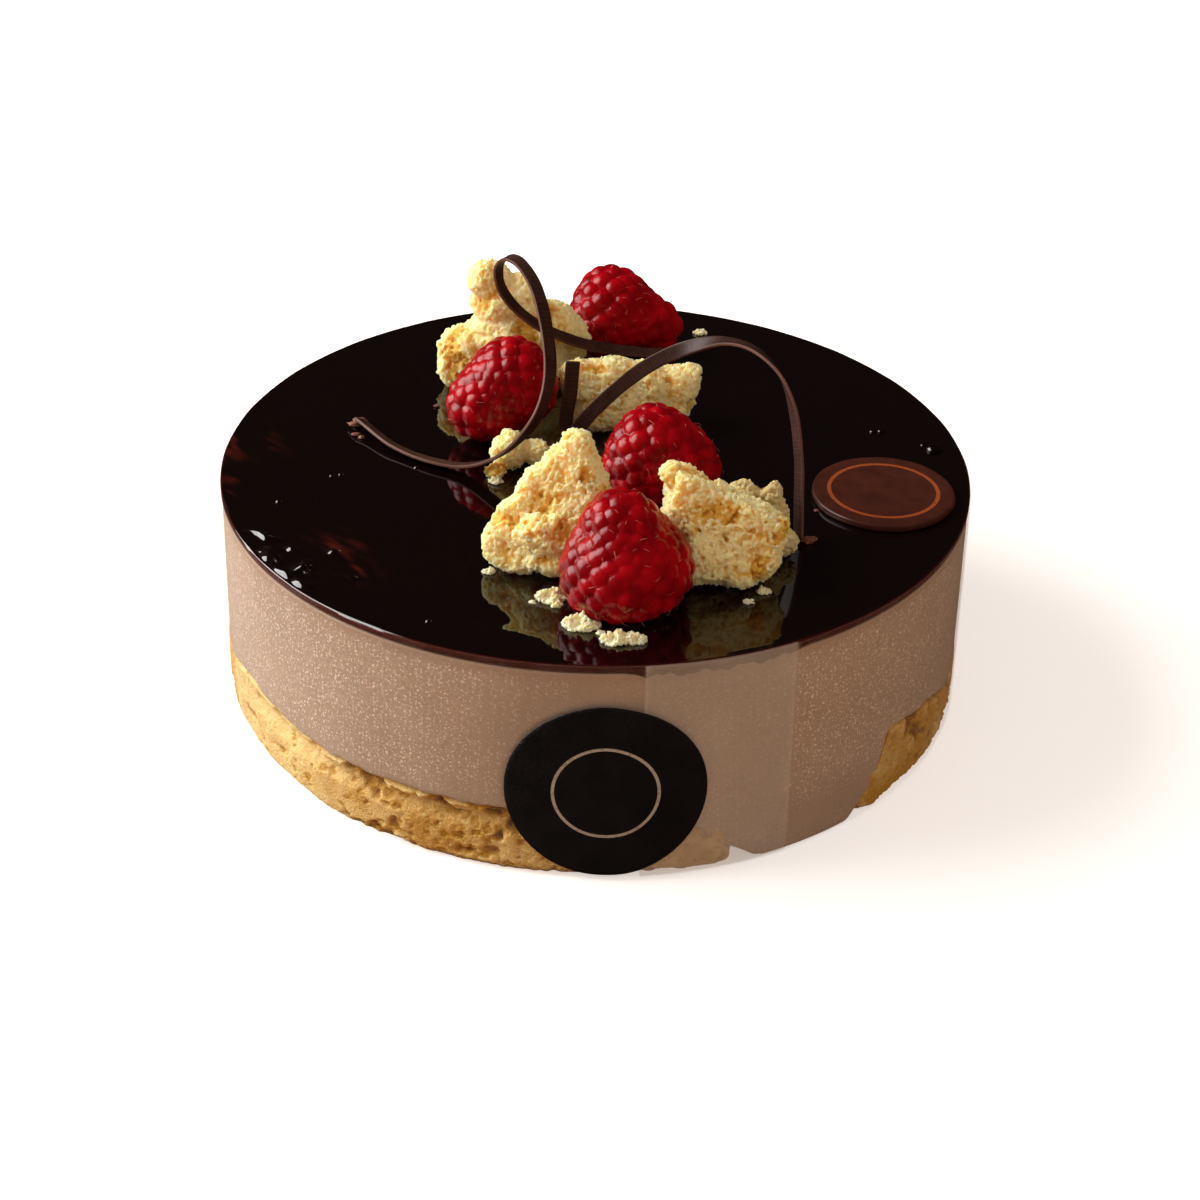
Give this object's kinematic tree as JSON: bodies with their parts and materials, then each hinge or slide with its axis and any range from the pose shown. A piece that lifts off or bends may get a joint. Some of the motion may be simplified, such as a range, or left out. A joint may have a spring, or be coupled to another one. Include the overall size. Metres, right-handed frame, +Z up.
{
  "type": "chocolate mousse cake",
  "caption": "Round chocolate mousse cake on torn sponge in a clear film collar, mirror glazed and topped with raspberries, sponge, chocolate curls and a medallion.",
  "frame": {"origin": "centre of the cake's underside, on the surface it stands on", "axes": "+Z up, -Y towards the front with the round label, +X towards the medallion"},
  "size_m": [0.1618, 0.1624, 0.089],
  "materials": {
    "sponge": "matte, open crumb",
    "mousse": "satin, finely speckled",
    "glaze": "mirror gloss",
    "film": "clear film",
    "label": "satin paper",
    "chocolate": "satin",
    "medallion": "satin",
    "raspberry": "juicy gloss"
  },
  "bodies": {
    "root": {"sponge_base": "sponge", "mousse": "mousse", "glaze": "glaze", "film_collar": "film", "label": "label", "medallion": "medallion", "raspberry_1": "raspberry", "raspberry_2": "raspberry", "raspberry_3": "raspberry", "raspberry_4": "raspberry", "sponge_piece_1": "sponge", "sponge_piece_2": "sponge", "sponge_piece_3": "sponge", "sponge_piece_4": "sponge", "sponge_piece_5": "sponge", "sponge_piece_6": "sponge", "curl_1": "chocolate", "curl_2": "chocolate"}
  },
  "joints": []
}
